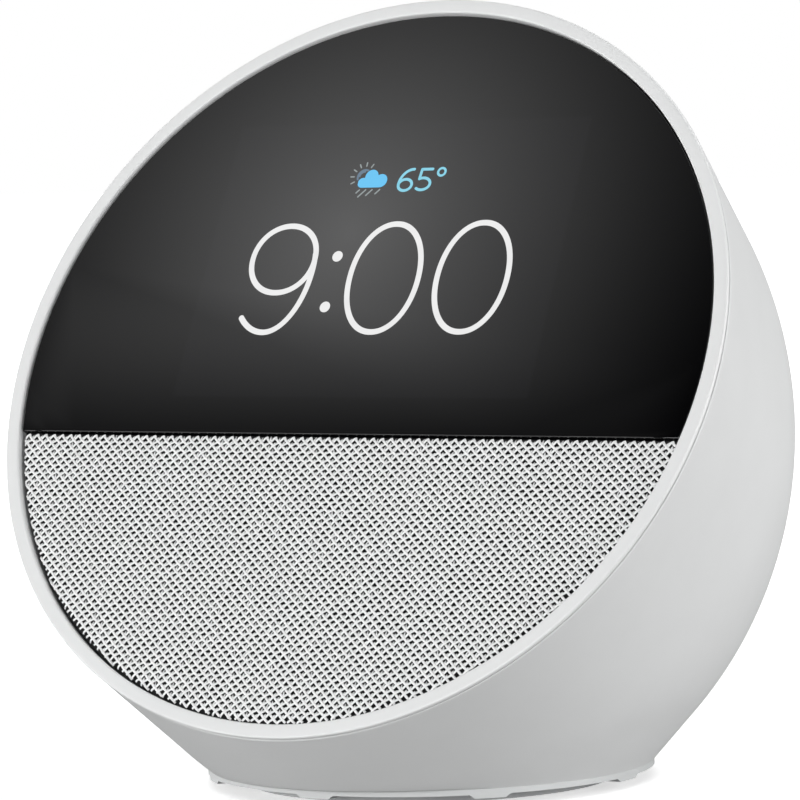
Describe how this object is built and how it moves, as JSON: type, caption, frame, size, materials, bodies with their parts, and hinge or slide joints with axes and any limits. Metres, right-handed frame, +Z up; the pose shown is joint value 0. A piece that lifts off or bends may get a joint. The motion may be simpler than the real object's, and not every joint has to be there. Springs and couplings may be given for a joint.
{
  "type": "smart display",
  "caption": "Round smart display on a dome-shaped body, with a tilted face of black glass above a cloth speaker grille, sprung top buttons and a flat rubber foot.",
  "frame": {"origin": "centre of the bounding box on the surface that the foot rests on", "axes": "+Z up; the face looks towards -Y; +X is on the right in a front view"},
  "size_m": [0.113, 0.1023, 0.1105],
  "materials": {
    "housing_plastic": "satin moulded, cool white",
    "bezel_plastic": "fine satin, white",
    "cover_glass": "polished, black printed behind",
    "black_tape": "foam tape",
    "sensor_film": "clear film with tracks",
    "panel_glass": "panel glass",
    "light_guide": "white film stack in a frame",
    "tinned_steel": "stamped and tinned",
    "flex_circuit": "amber polyimide",
    "frame_plastic": "glass filled, dark grey",
    "grille_cloth": "open knit, light grey",
    "grille_plastic": "moulded, near black",
    "foam": "closed-cell foam",
    "basket_steel": "black coated steel",
    "plated_steel": "zinc plated",
    "ferrite": "sintered ferrite",
    "cone_paper": "pressed pulp, black",
    "coil_copper": "enamelled copper wire",
    "surround_rubber": "rolled rubber",
    "spider_cloth": "pressed cotton",
    "lead_insulation": "vinyl insulation",
    "circuit_board": "solder mask",
    "connector_plastic": "moulded connector",
    "pad_silicone": "soft silicone",
    "heat_sink": "extruded, plain",
    "screw_steel": "nickel plated",
    "button_plastic": "satin moulded, white",
    "switch_plastic": "switch plunger",
    "antenna_foil": "gold plated foil",
    "jack_plastic": "moulded, black",
    "base_plastic": "satin moulded, light grey",
    "foot_rubber": "soft, light grey",
    "ballast_steel": "pressed steel weight"
  },
  "bodies": {
    "display": {"rear_housing": "housing_plastic", "front_bezel": "bezel_plastic", "cover_glass": "cover_glass", "glass_adhesive": "black_tape", "touch_sensor": "sensor_film", "display_cell": "panel_glass", "backlight_unit": "light_guide", "display_shield": "tinned_steel", "display_flex": "flex_circuit", "front_frame": "frame_plastic", "grille_cloth": "grille_cloth", "grille_plate": "grille_plastic", "speaker_gasket": "foam", "speaker_basket": "basket_steel", "top_plate": "plated_steel", "speaker_magnet": "ferrite", "speaker_yoke": "plated_steel", "cone_surround": "surround_rubber", "cone_spider": "spider_cloth", "speaker_seal": "foam", "speaker_cup": "frame_plastic", "cup_screws": "screw_steel", "speaker_leads": "lead_insulation", "main_board": "circuit_board", "processor_shield": "tinned_steel", "radio_shield": "tinned_steel", "board_connectors": "connector_plastic", "thermal_pad": "pad_silicone", "heat_spreader": "heat_sink", "board_screws": "screw_steel", "frame_screws": "screw_steel", "button_board": "circuit_board", "button_switches": "tinned_steel", "microphones": "tinned_steel", "mic_boots": "surround_rubber", "button_flex": "flex_circuit", "antennas": "antenna_foil", "light_sensor": "sensor_film", "inlet_collar": "housing_plastic", "inlet_jack": "jack_plastic", "inlet_pin": "plated_steel", "power_leads": "lead_insulation", "base_plate": "base_plastic", "rubber_foot": "foot_rubber", "base_screws": "screw_steel", "ballast_plate": "ballast_steel"},
    "cone": {"speaker_cone": "cone_paper", "dust_cap": "cone_paper", "voice_coil": "coil_copper"},
    "volume_up": {"volume_up_button": "button_plastic", "volume_up_plunger": "switch_plastic"},
    "mic_mute": {"mic_mute_button": "button_plastic", "mic_mute_plunger": "switch_plastic"},
    "volume_down": {"volume_down_button": "button_plastic", "volume_down_plunger": "switch_plastic"}
  },
  "joints": [
    {"name": "cone_stroke", "type": "slide", "parent": "display", "child": "cone", "axis": [0, -0.8805, 0.4741], "range_m": [-0.001, 0.001], "stiffness_N_per_m": 1200},
    {"name": "volume_up_press", "type": "slide", "parent": "display", "child": "volume_up", "axis": [0, -0.4741, -0.8805], "range_m": [0, 0.0005], "stiffness_N_per_m": 800, "springref_m": -0.001},
    {"name": "mic_mute_press", "type": "slide", "parent": "display", "child": "mic_mute", "axis": [0, -0.4741, -0.8805], "range_m": [0, 0.0005], "stiffness_N_per_m": 800, "springref_m": -0.001},
    {"name": "volume_down_press", "type": "slide", "parent": "display", "child": "volume_down", "axis": [0, -0.4741, -0.8805], "range_m": [0, 0.0005], "stiffness_N_per_m": 800, "springref_m": -0.001}
  ]
}
